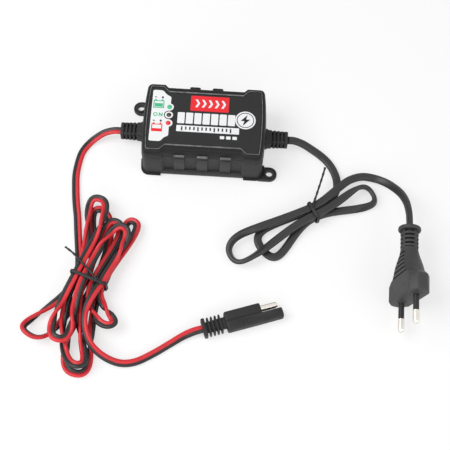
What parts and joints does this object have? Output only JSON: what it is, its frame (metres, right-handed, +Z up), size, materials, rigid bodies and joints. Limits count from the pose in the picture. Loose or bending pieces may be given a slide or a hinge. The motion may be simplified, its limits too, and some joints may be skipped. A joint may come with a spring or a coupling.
{
  "type": "car battery charger",
  "caption": "Sealed plug-in car battery charger: recessed-grip case with fixing ears and lights, mains lead with two-pin plug, and battery lead with a two-pole connector",
  "frame": {"origin": "floor under the middle of the case, not counting the leads", "axes": "+X along the case towards the mains lead, +Y to the back, away from the two hanks, +Z up"},
  "size_m": [0.2428, 0.1935, 0.0356],
  "materials": {
    "case": "fine moulded grain, black",
    "label": "satin printed film",
    "seal": "moulded gasket",
    "steel": "zinc plated screws",
    "led_green": "diffuse lens",
    "led_clear": "tinted lens",
    "led_red": "diffuse lens",
    "white_plastic": "moulded spacer",
    "board": "glass epoxy laminate",
    "ferrite": "sintered ferrite",
    "bobbin": "moulded nylon",
    "copper": "enamelled copper under tape",
    "component_black": "moulded epoxy or sleeve",
    "component_yellow": "moulded box",
    "aluminium": "plain",
    "inner_wire": "insulated wire",
    "soft_black": "soft moulded plastic",
    "lead_black": "smooth flexible sheath",
    "lead_red": "red and black twin wire",
    "tie": "coated twist wire",
    "plug": "moulded plug",
    "pin": "nickel plated",
    "sleeve": "insulating sleeve"
  },
  "bodies": {
    "root": {"base_shell": "case", "top_cover": "case", "case_seal": "seal", "case_screws": "steel", "overlay_label": "label", "led_green": "led_green", "led_on": "led_clear", "led_red": "led_red", "led_holder": "white_plastic", "circuit_board": "board", "board_screws": "steel", "transformer_core": "ferrite", "transformer_bobbin": "bobbin", "transformer_winding": "copper", "mains_capacitor": "component_black", "rectifier_bridge": "component_black", "mains_fuse": "component_black", "suppression_capacitor": "component_yellow", "mains_choke": "ferrite", "power_transistor": "component_black", "heat_sink": "aluminium", "transistor_screw": "steel", "output_diode": "component_black", "output_capacitor": "component_black", "output_choke": "ferrite", "optocoupler": "component_black", "control_chip": "component_black", "inner_mains_wires": "inner_wire", "inner_dc_wires": "inner_wire", "mains_strain_relief": "soft_black", "dc_strain_relief": "soft_black", "mains_lead_case_end": "lead_black", "mains_hank": "lead_black", "mains_lead_plug_end": "lead_black", "mains_tie": "tie", "plug_body": "plug", "plug_pins": "pin", "pin_sleeves": "sleeve", "dc_lead_case_end": "lead_red", "dc_hank": "lead_red", "dc_lead_connector_end": "lead_red", "dc_tie": "tie", "connector_body": "soft_black", "connector_pin": "pin", "connector_socket": "pin"}
  },
  "joints": []
}
